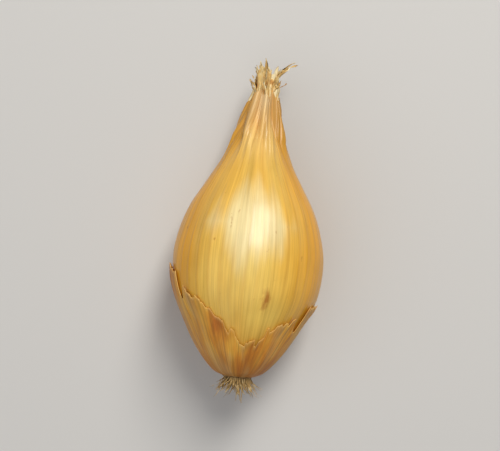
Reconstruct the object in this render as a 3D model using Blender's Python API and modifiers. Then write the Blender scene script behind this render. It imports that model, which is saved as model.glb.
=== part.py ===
"""A single onion set: a small dry onion bulb for planting, lying on its side with its neck towards +Y.

Each piece is modelled along its own Z axis, from the root end at height 0 to the neck, and an empty then lays
the bulb down. Round the bulb, angle 0 is its right side, 90 degrees is underneath, 180 is its left side and 270
is on top.
"""

import math
import random

import bmesh
import bpy
from mathutils import Matrix, Vector

MM = 0.001

# Driving dimensions
BULB_DIAMETER = 21.0 * MM
BULB_LENGTH = 40.0 * MM
SKIN_THICKNESS = 0.6 * MM
GAP = 0.3 * MM
FLAT_DEPTH = 0.28 * MM
NECK_DROP = math.radians(4.8)

# The bulb's outline: height as a share of its length, radius as a share of its largest radius
OUTLINE = (
    (0.008, 0.290),
    (0.040, 0.415),
    (0.100, 0.590),
    (0.180, 0.770),
    (0.275, 0.945),
    (0.370, 1.000),
    (0.470, 0.980),
    (0.585, 0.860),
    (0.683, 0.665),
    (0.782, 0.450),
    (0.880, 0.300),
    (1.000, 0.165),
)

# Round the bulb
RIGHT, UNDER, LEFT = 0.0, math.pi / 2, math.pi
VEINS = 36
STEPS = 2 * VEINS
VEIN_HEIGHT = 0.14 * MM
RING_SPACING = 1.05 * MM

# The slight squareness of a bulb grown in a crowded row: shares of its radius, and angles in radians
TWO_SIDED, TWO_SIDED_TURN = 0.012, 0.7
THREE_SIDED, THREE_SIDED_TURN = 0.010, -0.9

# The shrivelled neck: heights in shares of the bulb's length, the pleats' depth in shares of its radius
NECK_START, NECK_FULL, NECK_LEAN_FULL = 0.73, 0.97, 1.25
NECK_PLEATS = 7
PLEAT_DEPTH = 0.17
PLEAT_TWIST = 0.55
NECK_SIDEWAYS = 0.9 * MM
NECK_DOWNWARDS = 0.6 * MM

# The shallow socket that the root plate fills
SOCKET_RADIUS = 2.45 * MM
SOCKET_DEPTH = 0.75 * MM

# What is left of the old outer skin: a ragged cup round the root end. Its torn edge is lowest on top.
OLD_SKIN_START = 0.7 * MM
OLD_SKIN_LOWEST = 3.9 * MM
# One row for each lobe: angle of its middle, how far it stands above the lowest, its half width
OLD_SKIN_LOBES = (
    (LEFT, 10.8 * MM, 1.95),
    (RIGHT, 6.8 * MM, 1.80),
    (UNDER, 2.2 * MM, 0.75),
)
# One row for each tear: angle, depth
TEARS = ((2.44, 3.4 * MM), (3.66, 3.0 * MM), (5.76, 2.2 * MM), (0.52, 2.6 * MM))
TEAR_HALF_WIDTH = 0.15
STRIP_RAG = 0.75 * MM
OLD_SKIN_SINK = 0.45 * MM
SINK_FADE = 1.8 * MM
OLD_SKIN_RINGS = 7

# The root plate and its dried roots
PLATE_RADIUS = SOCKET_RADIUS - GAP
PLATE_OUT = 0.55 * MM
PLATE_STEPS = 24
# The plate's outer outline: radius as a share of its largest, how far out as a share of PLATE_OUT
PLATE_OUTLINE = ((1.0, 0.0), (0.86, 0.6), (0.5, 1.0), (0.0, 1.1))
ROOTS = 30
ROOT_SEED = 7
ROOT_THICKNESS = 0.42 * MM
ROOT_TAPER = (1.15, 0.65)
ROOT_LENGTH = (1.5 * MM, 3.6 * MM)
ROOT_SUNK = 0.25 * MM
ROOT_POINTS = 6
# How a root leans outwards, in radians: in the middle of the plate, how much more at its rim, and chance
ROOT_LEAN, ROOT_LEAN_MORE, ROOT_LEAN_CHANCE = 0.25, 0.85, 0.12
# What share of its lean it has at the plate, and how much more at its tip
ROOT_LEAN_START, ROOT_LEAN_GAIN = 0.35, 0.9
ROOT_CURL = 0.9

# The frayed end of the neck
WISP_CORE_LENGTH = 2.4 * MM
# The core's outline: radius as a share of the neck's end, height as a share of the core's length
WISP_CORE_OUTLINE = ((0.0, 1.0), (0.55, 0.85), (0.9, 0.4), (1.0, 0.0), (0.0, 0.0))
WISP_FOOT = 0.4 * MM
WISP_SIDE = 0.48
# A wisp's width: its least share, and where along its bulge it starts and how far along it ends
WISP_NARROWEST, WISP_BULGE_START, WISP_BULGE_RUN = 0.55, 0.25, 0.8
WISP_RAG, WISP_RAG_WAVES, WISP_RAG_SHIFT = 0.1, 9, 2.3
WISP_LEAST_BEND = 0.01
# One row for each wisp: angle round the neck, length, width, how far it curls over, how far it twists
WISPS = (
    (0.15, 6.2 * MM, 2.6 * MM, 1.25, 0.5),
    (1.30, 3.6 * MM, 1.7 * MM, 0.55, -0.6),
    (2.35, 4.6 * MM, 2.0 * MM, 0.75, 0.8),
    (3.45, 4.0 * MM, 1.6 * MM, 0.50, -0.9),
    (4.40, 5.2 * MM, 2.1 * MM, 0.85, 0.7),
    (5.40, 4.2 * MM, 1.8 * MM, 0.45, -0.5),
)
WISP_PIECES_LONG, WISP_PIECES_WIDE = 9, 3


def clear_scene():
    for obj in list(bpy.data.objects):
        bpy.data.objects.remove(obj)


def linear(hex_colour):
    """A six-digit sRGB colour as the linear numbers that a shader takes."""
    shares = [int(hex_colour[i : i + 2], 16) / 255 for i in (0, 2, 4)]
    return [s / 12.92 if s <= 0.04045 else ((s + 0.055) / 1.055) ** 2.4 for s in shares] + [1.0]


def plain_material(name, hex_colour, roughness):
    material = bpy.data.materials.new(name)
    material.use_nodes = True
    shader = material.node_tree.nodes["Principled BSDF"]
    shader.inputs["Base Color"].default_value = linear(hex_colour)
    shader.inputs["Roughness"].default_value = roughness
    return material


def smooth_step(low, high, value):
    share = min(1.0, max(0.0, (value - low) / (high - low)))
    return share * share * (3 - 2 * share)


def angle_between(angle, other):
    """How far two angles are apart, in radians from 0 to pi."""
    apart = (angle - other) % math.tau
    return min(apart, math.tau - apart)


def swell(angle, centre, half_width):
    """1 at the centre angle, falling smoothly to 0 at half_width from it."""
    share = min(1.0, angle_between(angle, centre) / half_width)
    return math.cos(share * math.pi / 2) ** 2


def outline_radius(height):
    """The bulb's radius at this height, on a smooth curve through OUTLINE."""
    share = height / BULB_LENGTH
    last = len(OUTLINE) - 1
    i = min(sum(share >= point[0] for point in OUTLINE[1:]), last - 1)

    def slope(k):
        low, high = OUTLINE[max(k - 1, 0)], OUTLINE[min(k + 1, last)]
        return (high[1] - low[1]) / (high[0] - low[0])

    (h0, r0), (h1, r1) = OUTLINE[i], OUTLINE[i + 1]
    span = h1 - h0
    t = (share - h0) / span
    value = (
        (2 * t**3 - 3 * t**2 + 1) * r0
        + (t**3 - 2 * t**2 + t) * span * slope(i)
        + (3 * t**2 - 2 * t**3) * r1
        + (t**3 - t**2) * span * slope(i + 1)
    )
    return value * BULB_DIAMETER / 2


def neck_offset(height):
    """How far the bulb's axis leans aside at this height."""
    share = smooth_step(NECK_START, NECK_LEAN_FULL, height / BULB_LENGTH)
    return Vector((NECK_SIDEWAYS * share, NECK_DOWNWARDS * share, 0))


def unevenness(height, angle):
    """The factor that takes the round outline to the real cross-section, pleated at the neck."""
    body = 1 + TWO_SIDED * math.cos(2 * angle + TWO_SIDED_TURN)
    body += THREE_SIDED * math.cos(3 * angle + THREE_SIDED_TURN)
    neck = smooth_step(NECK_START, NECK_FULL, height / BULB_LENGTH)
    twist = PLEAT_TWIST * neck * NECK_PLEATS
    return body + PLEAT_DEPTH * neck * math.cos(NECK_PLEATS * angle + twist)


def skin_edge(angle):
    """The height at which the old skin has torn off, at this angle round the bulb."""
    edge = OLD_SKIN_LOWEST
    for centre, rise, half_width in OLD_SKIN_LOBES:
        edge += rise * swell(angle, centre, half_width)
    for centre, depth in TEARS:
        edge -= depth * swell(angle, centre, TEAR_HALF_WIDTH)
    # From vein to vein the edge steps up or down by a chance-like, repeatable amount
    strip = round(angle / math.tau * VEINS) % VEINS
    return edge + STRIP_RAG * math.sin(2.3 * strip + 1.7 * math.sin(1.1 * strip))


def skin_reach(angle):
    """The height up to which the bulb stays sunk below the old skin, its edge on either side included."""
    column = math.tau / STEPS
    return max(skin_edge(angle + side * column) for side in (-1, 0, 1))


def turned(name, profile, steps=STEPS):
    """A mesh turned about Z from (radius, height) points that run from the top down its outer side."""
    mesh = bpy.data.meshes.new(name)
    outline = bmesh.new()
    vertices = [outline.verts.new((radius, 0, height)) for radius, height in profile]
    for first, second in zip(vertices, vertices[1:]):
        outline.edges.new((first, second))
    outline.to_mesh(mesh)
    outline.free()
    blank = bpy.data.objects.new(name + "_outline", mesh)
    bpy.context.scene.collection.objects.link(blank)
    screw = blank.modifiers.new("turn", "SCREW")
    screw.steps = screw.render_steps = steps
    screw.use_merge_vertices = True
    screw.merge_threshold = 0.01 * MM
    solid = evaluated_mesh(blank)
    bpy.data.objects.remove(blank)
    solid.name = name
    return solid


def evaluated_mesh(obj):
    graph = bpy.context.evaluated_depsgraph_get()
    graph.update()
    return bpy.data.meshes.new_from_object(obj.evaluated_get(graph))


def add_piece(name, mesh, collection, material=None):
    mesh.name = name
    obj = bpy.data.objects.new(name, mesh)
    collection.objects.link(obj)
    if material:
        mesh.materials.clear()
        mesh.materials.append(material)
    return obj


def thicken(obj, thickness, offset=1.0):
    """Gives an open surface its thickness, with a Solidify modifier that is left on the object."""
    wall = obj.modifiers.new("thickness", "SOLIDIFY")
    wall.thickness = thickness
    wall.offset = offset
    return wall


def build_bulb(collection):
    """The body and its neck as one solid: a turned outline, then lobes, pleats, veins and the neck's lean."""
    rings = round(BULB_LENGTH / RING_SPACING)
    start = OUTLINE[0][0] * BULB_LENGTH
    heights = [start + (BULB_LENGTH - start) * i / rings for i in range(rings + 1)]
    side = [(outline_radius(height), height) for height in reversed(heights)]
    neck_end = (0.0, BULB_LENGTH)
    socket = [(SOCKET_RADIUS, start), (SOCKET_RADIUS, SOCKET_DEPTH), (0.0, SOCKET_DEPTH)]
    mesh = turned("bulb", [neck_end] + side + socket)
    for vertex in mesh.vertices:
        x, y, height = vertex.co
        angle, radius = math.atan2(y, x), math.hypot(x, y)
        in_socket = height <= SOCKET_DEPTH and radius < (SOCKET_RADIUS + outline_radius(start)) / 2
        if not in_socket:
            covered = 1 - smooth_step(0, SINK_FADE, height - skin_reach(angle))
            vein = math.cos(VEINS * angle) * VEIN_HEIGHT / 2 * radius / (BULB_DIAMETER / 2)
            radius = radius * unevenness(height, angle) + vein - OLD_SKIN_SINK * covered
        vertex.co = Vector((radius * math.cos(angle), radius * math.sin(angle), height)) + neck_offset(height)
    mesh.shade_smooth()
    return add_piece("bulb", mesh, collection, plain_material("dry_golden_skin", "D9A648", 0.38))


def build_outer_skin(collection):
    """The ragged cup of old skin: a turned sleeve whose top edge follows the tear, thickened outwards."""
    rows = [(1.0, 1 - i / OLD_SKIN_RINGS) for i in range(OLD_SKIN_RINGS + 1)]
    mesh = turned("outer_skin", rows)
    for vertex in mesh.vertices:
        angle = math.atan2(vertex.co.y, vertex.co.x)
        height = OLD_SKIN_START + (skin_edge(angle) - OLD_SKIN_START) * vertex.co.z
        radius = outline_radius(height) * unevenness(height, angle) - OLD_SKIN_SINK + GAP
        vertex.co = Vector((radius * math.cos(angle), radius * math.sin(angle), height))
    skin = add_piece("outer_skin", mesh, collection, plain_material("old_brown_skin", "B0722E", 0.6))
    thicken(skin, SKIN_THICKNESS)
    mesh.shade_smooth()
    return skin


def joined(name, core, parts, collection, material, solver="EXACT"):
    """The core and every part as one body: one union with a collection, whose objects then go."""
    together = bpy.data.collections.new(name + "_parts")
    for part in parts:
        bpy.context.scene.collection.objects.unlink(part)
        together.objects.link(part)
    bpy.context.scene.collection.children.link(together)
    union = core.modifiers.new("join", "BOOLEAN")
    union.operation = "UNION"
    union.operand_type = "COLLECTION"
    union.collection = together
    union.solver = solver
    mesh = evaluated_mesh(core)
    for part in parts + [core]:
        bpy.data.objects.remove(part)
    bpy.data.collections.remove(together)
    return add_piece(name, mesh, collection, material)


def root_thread(index, rng):
    """One dried root: a thin tapering tube that leaves the plate, splays outwards and curls back."""
    share = math.sqrt((index + 0.5) / ROOTS)
    angle = index * math.pi * (3 - math.sqrt(5))
    length = rng.uniform(*ROOT_LENGTH)
    outward = ROOT_LEAN + ROOT_LEAN_MORE * share + rng.uniform(-ROOT_LEAN_CHANCE, ROOT_LEAN_CHANCE)
    curl = rng.uniform(-ROOT_CURL, ROOT_CURL)
    position = Vector((math.cos(angle), math.sin(angle), 0)) * (PLATE_RADIUS - ROOT_THICKNESS) * share
    position.z = -ROOT_SUNK
    curve = bpy.data.curves.new(f"root_{index}", "CURVE")
    curve.dimensions = "3D"
    curve.bevel_depth = ROOT_THICKNESS / 2
    curve.bevel_resolution = 0
    curve.use_fill_caps = True
    spline = curve.splines.new("POLY")
    spline.points.add(ROOT_POINTS - 1)
    step = length / (ROOT_POINTS - 1)
    thick, thin = ROOT_TAPER
    for i, point in enumerate(spline.points):
        point.co = (*position, 1)
        point.radius = thick + (thin - thick) * i / (ROOT_POINTS - 1)
        lean = outward * (ROOT_LEAN_START + ROOT_LEAN_GAIN * i / ROOT_POINTS)
        heading = angle + curl * i / ROOT_POINTS
        position += step * Vector(
            (math.sin(lean) * math.cos(heading), math.sin(lean) * math.sin(heading), -math.cos(lean))
        )
    tube = bpy.data.objects.new(curve.name, curve)
    bpy.context.scene.collection.objects.link(tube)
    mesh = evaluated_mesh(tube)
    bpy.data.objects.remove(tube)
    capped = bmesh.new()
    capped.from_mesh(mesh)
    bmesh.ops.remove_doubles(capped, verts=capped.verts, dist=0.01 * MM)
    capped.to_mesh(mesh)
    capped.free()
    return add_piece(curve.name, mesh, bpy.context.scene.collection)


def build_roots(collection):
    """The corky root plate, seated in the bulb's socket, with its dried roots fused to it."""
    rng = random.Random(ROOT_SEED)
    top = SOCKET_DEPTH - GAP
    seated = [(0.0, top), (PLATE_RADIUS, top)]
    outside = [(PLATE_RADIUS * radius, -PLATE_OUT * out) for radius, out in PLATE_OUTLINE]
    mesh = turned("root_plate", seated + outside, PLATE_STEPS)
    plate = add_piece("root_plate", mesh, bpy.context.scene.collection)
    threads = [root_thread(index, rng) for index in range(ROOTS)]
    return joined("root_tuft", plate, threads, collection, plain_material("dried_root", "A98C5A", 0.85))


def wisp(index, angle, length, width, curl, twist):
    """One papery strip of a dead leaf: it leaves the neck's side, curls over, twists and ends ragged."""
    blade = bmesh.new()
    bmesh.ops.create_grid(blade, x_segments=WISP_PIECES_WIDE, y_segments=WISP_PIECES_LONG, size=0.5)
    bmesh.ops.triangulate(blade, faces=blade.faces)
    for vertex in blade.verts:
        across, along = vertex.co.x, vertex.co.y + 0.5
        ragged = 1 + WISP_RAG * math.sin(WISP_RAG_WAVES * across + WISP_RAG_SHIFT * index) * along
        bulge = math.sin(math.pi * min(1.0, WISP_BULGE_START + WISP_BULGE_RUN * along))
        aside = across * width * (WISP_NARROWEST + (1 - WISP_NARROWEST) * bulge)
        vertex.co = Vector((0, aside, 0))
        vertex.co.rotate(Matrix.Rotation(twist * along, 3, "Z"))
        vertex.co.rotate(Matrix.Rotation(curl * along, 3, "Y"))
        bend = max(curl * along, WISP_LEAST_BEND)
        run = length * along * ragged / bend
        vertex.co += Vector((run * (1 - math.cos(bend)), 0, run * math.sin(bend)))
    mesh = bpy.data.meshes.new(f"wisp_{index}")
    blade.to_mesh(mesh)
    blade.free()
    side = WISP_SIDE * outline_radius(BULB_LENGTH)
    mesh.transform(Matrix.Rotation(angle, 4, "Z") @ Matrix.Translation((side, 0, WISP_FOOT)))
    strip = add_piece(mesh.name, mesh, bpy.context.scene.collection)
    thicken(strip, SKIN_THICKNESS, offset=0.0)
    return strip


def build_neck_wisps(collection):
    """The frayed end of the neck: a core that carries the neck's pleats on, with papery strips round it."""
    foot = outline_radius(BULB_LENGTH)
    mesh = turned("wisp_core", [(foot * radius, WISP_CORE_LENGTH * top) for radius, top in WISP_CORE_OUTLINE])
    for vertex in mesh.vertices:
        factor = unevenness(BULB_LENGTH + vertex.co.z, math.atan2(vertex.co.y, vertex.co.x))
        vertex.co = Vector((vertex.co.x * factor, vertex.co.y * factor, vertex.co.z))
    core = add_piece("wisp_core", mesh, bpy.context.scene.collection)
    strips = [wisp(index, *row) for index, row in enumerate(WISPS)]
    paper = plain_material("dry_leaf_paper", "CDA968", 0.7)
    wisps = joined("neck_wisps", core, strips, collection, paper, solver="MANIFOLD")
    wisps.data.transform(Matrix.Translation(neck_offset(BULB_LENGTH) + Vector((0, 0, BULB_LENGTH + GAP))))
    return wisps


def lay_down(pieces):
    """Lays the bulb on its side with its weight over a small flat spot, and centres it over the origin."""
    stand = bpy.data.objects.new("lying_bulb", None)
    bpy.context.scene.collection.objects.link(stand)
    stand.rotation_euler = (-math.pi / 2 - NECK_DROP, 0, 0)
    for piece in pieces:
        piece.parent = stand
    bpy.context.view_layer.update()
    corners = [piece.matrix_world @ v.co for piece in pieces for v in evaluated_mesh(piece).vertices]
    low = Vector(min(corner[axis] for corner in corners) for axis in range(3))
    high = Vector(max(corner[axis] for corner in corners) for axis in range(3))
    middle = (low + high) / 2
    stand.location = (-middle.x, -middle.y, -low.z - FLAT_DEPTH)
    bpy.context.view_layer.update()


def cut_flat_spot(bulb):
    """Trims the bulb where it would reach below the surface, so that it rests on a small flat face."""
    to_local = bulb.matrix_world.inverted()
    body = bmesh.new()
    body.from_mesh(bulb.data)
    cut = bmesh.ops.bisect_plane(
        body,
        geom=body.verts[:] + body.edges[:] + body.faces[:],
        plane_co=to_local @ Vector((0, 0, 0)),
        plane_no=to_local.to_3x3() @ Vector((0, 0, -1)),
        clear_outer=True,
    )
    rim = [item for item in cut["geom_cut"] if isinstance(item, bmesh.types.BMEdge)]
    bmesh.ops.contextual_create(body, geom=rim)
    body.to_mesh(bulb.data)
    body.free()


def main():
    clear_scene()
    collection = bpy.data.collections.new("onion_set")
    bpy.context.scene.collection.children.link(collection)
    bulb = build_bulb(collection)
    outer_skin = build_outer_skin(collection)
    roots = build_roots(collection)
    wisps = build_neck_wisps(collection)
    lay_down([bulb, outer_skin, roots, wisps])
    cut_flat_spot(bulb)


main()
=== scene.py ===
# %% [markdown]
# # One onion set
#
# An onion set is a small, dry onion bulb that is sold for planting. This one lies on its side, as
# it would when tipped out on a table. The solids that carry it are already made. This notebook
# dresses them: a fine golden skin with its veins, the torn rest of an older brown skin round the
# root end, the frayed papery neck and the dried roots.
#
# First the solids are loaded as a fixed frame. Every piece below is placed by them.

# %% Load the frame
import math
import random

import bmesh
import bpy
from mathutils import Matrix, Vector, noise


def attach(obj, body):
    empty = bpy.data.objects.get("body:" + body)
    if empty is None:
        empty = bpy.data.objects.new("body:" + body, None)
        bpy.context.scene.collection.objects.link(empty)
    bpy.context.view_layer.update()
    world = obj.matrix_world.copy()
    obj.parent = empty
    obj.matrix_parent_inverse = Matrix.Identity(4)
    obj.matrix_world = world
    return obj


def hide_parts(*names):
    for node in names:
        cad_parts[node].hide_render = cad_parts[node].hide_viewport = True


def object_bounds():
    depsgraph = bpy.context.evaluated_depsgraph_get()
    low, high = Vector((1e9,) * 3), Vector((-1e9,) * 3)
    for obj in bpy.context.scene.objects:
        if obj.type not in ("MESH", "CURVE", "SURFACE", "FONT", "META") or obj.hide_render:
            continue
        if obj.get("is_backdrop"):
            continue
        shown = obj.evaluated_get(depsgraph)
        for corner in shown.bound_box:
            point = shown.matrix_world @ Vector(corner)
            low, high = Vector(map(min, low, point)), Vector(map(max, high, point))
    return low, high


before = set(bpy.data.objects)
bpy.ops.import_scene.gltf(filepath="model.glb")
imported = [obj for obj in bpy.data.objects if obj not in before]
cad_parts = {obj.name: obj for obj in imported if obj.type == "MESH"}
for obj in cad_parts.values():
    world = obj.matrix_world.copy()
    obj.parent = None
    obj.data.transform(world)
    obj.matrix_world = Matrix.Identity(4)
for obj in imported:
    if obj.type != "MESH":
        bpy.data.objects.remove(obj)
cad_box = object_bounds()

MM = 0.001


def in_mm(lengths):
    """Lengths, or a point's coordinates, in millimetres and rounded to be printed."""
    return [round(length / MM, 2) for length in lengths]


print("solids:", sorted(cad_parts))
print("box of the solids in mm:", [in_mm(corner) for corner in cad_box])

# %% [markdown]
# ## The bulb's own shape
#
# A bulb is nearly a turned shape: its radius is a smooth function of the height above the roots.
# Drawing that curve once, as a function, is better than drawing it in every piece, because the
# skins, the neck and the loose strips all follow the same surface. The heights and radii are
# those of the solid: 21 mm across and 40 mm from the root end to where the neck frays.

# %% The outline
BULB_RADIUS = 10.5 * MM
BULB_LENGTH = 40.0 * MM
# Shares of the length and of the largest radius, from the root end to the neck's end
OUTLINE = (
    (0.008, 0.290),
    (0.040, 0.415),
    (0.100, 0.590),
    (0.180, 0.770),
    (0.275, 0.945),
    (0.370, 1.000),
    (0.470, 0.980),
    (0.585, 0.860),
    (0.683, 0.665),
    (0.782, 0.450),
    (0.880, 0.300),
    (1.000, 0.165),
)
ROOT_RIM = OUTLINE[0][0] * BULB_LENGTH


def outline_slope(k):
    """How steep the curve is at its point k, from the points before and after it."""
    low, high = OUTLINE[max(k - 1, 0)], OUTLINE[min(k + 1, len(OUTLINE) - 1)]
    return (high[1] - low[1]) / (high[0] - low[0])


def outline_radius(height):
    """The radius at this height, on a smooth curve that runs straight on past the neck's end."""
    share, last = height / BULB_LENGTH, len(OUTLINE) - 1
    if share >= 1:
        return (OUTLINE[last][1] + (share - 1) * outline_slope(last)) * BULB_RADIUS
    i = min(sum(share >= point[0] for point in OUTLINE[1:]), last - 1)
    (h0, r0), (h1, r1) = OUTLINE[i], OUTLINE[i + 1]
    span = h1 - h0
    t = (share - h0) / span
    start, leave = 2 * t**3 - 3 * t**2 + 1, (t**3 - 2 * t**2 + t) * span
    end, arrive = 3 * t**2 - 2 * t**3, (t**3 - t**2) * span
    smooth = start * r0 + leave * outline_slope(i) + end * r1 + arrive * outline_slope(i + 1)
    return smooth * BULB_RADIUS


print("radius in mm every 8 mm:", in_mm(outline_radius(8 * k * MM) for k in range(1, 6)))

# %% [markdown]
# ## What isn't round
#
# A bulb that grew among others is a little lobed, its neck leans, and the neck is pleated,
# because the dry leaf bases shrank there. Angles run round the bulb: 0 is its right side, a
# quarter turn is underneath, half a turn is its left side and three quarters is on top.

# %% Lobes, pleats and the neck's lean
RIGHT, UNDER, LEFT, TOP = 0.0, math.pi / 2, math.pi, 3 * math.pi / 2
TWO_SIDED, TWO_SIDED_TURN = 0.012, 0.7
THREE_SIDED, THREE_SIDED_TURN = 0.010, -0.9
NECK_START, NECK_FULL = 0.73, 0.97
NECK_PLEATS, PLEAT_DEPTH, PLEAT_TWIST = 7, 0.17, 0.55
NECK_SIDEWAYS, NECK_DOWNWARDS = 0.9 * MM, 0.6 * MM
BEND_FULL = 1.25


def smooth_step(low, high, value):
    """0 below low, 1 above high, and a soft slope between them."""
    share = min(1.0, max(0.0, (value - low) / (high - low)))
    return share * share * (3 - 2 * share)


def neck_offset(height):
    """How far the axis leans aside at this height."""
    share = smooth_step(NECK_START, BEND_FULL, height / BULB_LENGTH)
    return Vector((NECK_SIDEWAYS * share, NECK_DOWNWARDS * share, 0))


def wide_pleats(neck, angle):
    """Grows by a full turn from each wide pleat to the next. They twist as neck nears 1."""
    return NECK_PLEATS * angle + PLEAT_TWIST * neck * NECK_PLEATS


def unevenness(height, angle):
    """What the lobes and the neck's pleats make of the plain radius, as a factor."""
    body = 1 + TWO_SIDED * math.cos(2 * angle + TWO_SIDED_TURN)
    body += THREE_SIDED * math.cos(3 * angle + THREE_SIDED_TURN)
    neck = smooth_step(NECK_START, NECK_FULL, height / BULB_LENGTH)
    return body + PLEAT_DEPTH * neck * math.cos(wide_pleats(neck, angle))


print("neck's lean in mm:", in_mm(neck_offset(BULB_LENGTH)))

# %% [markdown]
# ## Laying it down
#
# Every piece is shaped upright, with its roots at height 0, and one matrix then lays it on its
# side. How far to move it is read from the solid: stood upright again, the solid's highest ring
# is the neck's end, and the middle of that ring is where the neck's axis has to be.

# %% The place of the bulb
NECK_DROP = math.radians(4.8)
RING_DEPTH = 0.02 * MM
TURN = Matrix.Rotation(-math.pi / 2 - NECK_DROP, 4, "X")

upright = {tuple(TURN.inverted() @ v.co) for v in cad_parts["bulb"].data.vertices}
neck_height = max(point[2] for point in upright)
neck_ring = [Vector(point) for point in upright if point[2] > neck_height - RING_DEPTH]
neck_middle = sum(neck_ring, Vector()) / len(neck_ring)
foot = neck_middle - neck_offset(BULB_LENGTH) - Vector((0, 0, BULB_LENGTH))
PLACE = TURN @ Matrix.Translation(foot)
print("points in the neck's end ring:", len(neck_ring))
print("root end's middle in mm:", in_mm(PLACE @ Vector((0, 0, 0))))

# %% [markdown]
# ## Chance that repeats itself
#
# Grown things are uneven. `wander` is smooth noise on the bulb's surface. It reads the point's
# place on a cylinder, so it has no seam where the angle jumps from a full turn back to 0, and
# `stretch` draws it out along the bulb, as the skin's fibres run from root to neck. The veins use
# it first: it makes them stray and fade.

# %% Smooth unevenness
def wander(angle, height, size, stretch=1.0, seed=0.0):
    """Smooth noise from about -1 to 1, whose bumps are size wide and stretch times as long."""
    x, y = math.cos(angle) * BULB_RADIUS / size, math.sin(angle) * BULB_RADIUS / size
    return noise.noise(Vector((x + seed, y - seed, height / (size * stretch) + 3 * seed)))


# %% Veins
VEINS = 36
VEIN_SHARPNESS = 9
VEIN_STRAY, THIN_VEIN_STRAY = 2.2, 2.4
VEIN_STRENGTH, STRENGTH_SWING = 0.6, 1.1
THIN_VEIN_STRENGTH = 0.4


def vein_phase(height, angle):
    """Grows by a full turn from each vein to the next. The veins stray a little."""
    return VEINS * angle + VEIN_STRAY * wander(angle, height, 7 * MM, stretch=2.2, seed=4.1)


def vein_ridge(height, angle):
    """1 on a vein and 0 between two, with thinner veins half way between them."""
    phase = vein_phase(height, angle)
    stray = THIN_VEIN_STRAY * wander(angle, height, 5 * MM, stretch=3, seed=9.3)
    main = (0.5 + 0.5 * math.cos(phase)) ** VEIN_SHARPNESS
    thin = (0.5 + 0.5 * math.cos(2 * phase + stray)) ** VEIN_SHARPNESS
    swings = STRENGTH_SWING * wander(angle, height, 4 * MM, stretch=4, seed=1.7)
    strength = max(0.0, VEIN_STRENGTH + swings)
    return min(1.0, main * strength + THIN_VEIN_STRENGTH * thin * max(0.0, 1 - strength))


ridges = [round(vein_ridge(20 * MM, math.radians(degrees)), 2) for degrees in range(11)]
print("ridges from 0 to 10 degrees, where 1 is on a vein:", ridges)

# %% [markdown]
# ## The golden skin
#
# The outermost whole skin wraps the bulb from the root plate to the neck. It is paper thin and
# follows the flesh, so it can be one closed surface. It could be a sculpted sphere, but a profile
# that is spun round the axis keeps its rows and columns along the veins, which is what the
# pattern and the ridges need.

# %% Spinning a profile
MERGE_DISTANCE = 0.001 * MM


def spun(profile, steps, name):
    """A bmesh turned about Z from (radius, height) points, with its poles merged."""
    shape = bmesh.new()
    points = [shape.verts.new((radius, 0, height)) for radius, height in profile]
    edges = [shape.edges.new(pair) for pair in zip(points, points[1:])]
    whole_turn = {"axis": (0, 0, 1), "cent": (0, 0, 0), "angle": math.tau, "use_merge": True}
    bmesh.ops.spin(shape, geom=points + edges, steps=steps, **whole_turn)
    bmesh.ops.remove_doubles(shape, verts=shape.verts, dist=MERGE_DISTANCE)
    bmesh.ops.recalc_face_normals(shape, faces=shape.faces)
    print(name, "starts with", len(shape.faces), "faces")
    return shape


def make_piece(shape, name, material, replaced, slot_name, thickness=0.0):
    """Makes a piece's object from its bmesh, hangs it on the root body and hides the solid it
    replaces.

    An open sheet gets its thickness from a modifier.
    """
    mesh = bpy.data.meshes.new(name)
    shape.to_mesh(mesh)
    shape.free()
    mesh.shade_smooth()
    mesh.materials.append(material)
    piece = bpy.data.objects.new(name, mesh)
    bpy.context.scene.collection.objects.link(piece)
    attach(piece, "root")
    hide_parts(replaced)
    if thickness:
        sheet = piece.modifiers.new("thickness", "SOLIDIFY")
        sheet.thickness, sheet.offset = thickness, 1.0
    mesh.calc_loop_triangles()
    triangles = len(mesh.loop_triangles) * (2 if thickness else 1)
    print(name, "has", triangles, "triangles or slightly more")


# %% [markdown]
# ## Materials: the tools
#
# Colours are written as the hex values that a painter would pick from the screen. A shader works
# with linear light, so one function turns them. One more function adds a node with its settings
# and links, and a ramp's stops, which keeps each material below readable.
#
# An input goes by its name. Where a node has several of one name it goes by number: a Math node's
# are 0, 1 and 2, and a colour Mix node's are 0 for the share, 6 for the first colour and 7 for
# the second.

# %% Colour and node helpers
def linear(hex_colour):
    """The linear colour, with an alpha of 1, of an sRGB hex value."""
    shares = [int(hex_colour[i : i + 2], 16) / 255 for i in (1, 3, 5)]
    return [s / 12.92 if s <= 0.04045 else ((s + 0.055) / 1.055) ** 2.4 for s in shares] + [1.0]


def feed(tree, node, inputs):
    """Sets inputs to values or links. A node stands for its first output in use."""
    for name, value in inputs.items():
        if isinstance(value, bpy.types.Node):
            value = next(output for output in value.outputs if output.enabled)
        if isinstance(value, bpy.types.NodeSocket):
            tree.links.new(value, node.inputs[name])
        else:
            node.inputs[name].default_value = value


def add(tree, kind, inputs=None, stops=(), **settings):
    """A new node: settings are its own properties, stops a ramp's (place, hex colour) pairs."""
    made = tree.nodes.new("ShaderNode" + kind)
    for name, value in settings.items():
        setattr(made, name, value)
    for i, (place, colour) in enumerate(stops):
        elements = made.color_ramp.elements
        element = elements[i] if i < len(elements) else elements.new(place)
        element.position, element.color = place, linear(colour)
    feed(tree, made, inputs or {})
    return made


def new_material(name):
    """A material with its node tree and its shader."""
    material = bpy.data.materials.new(name)
    material.use_nodes = True
    tree = material.node_tree
    return material, tree, tree.nodes["Principled BSDF"]


def tell(material):
    """Prints how large a material has become."""
    print(material.name, "has", len(material.node_tree.nodes), "nodes")


print("a golden #D6A242 in linear light:", [round(share, 3) for share in linear("#D6A242")])

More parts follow.
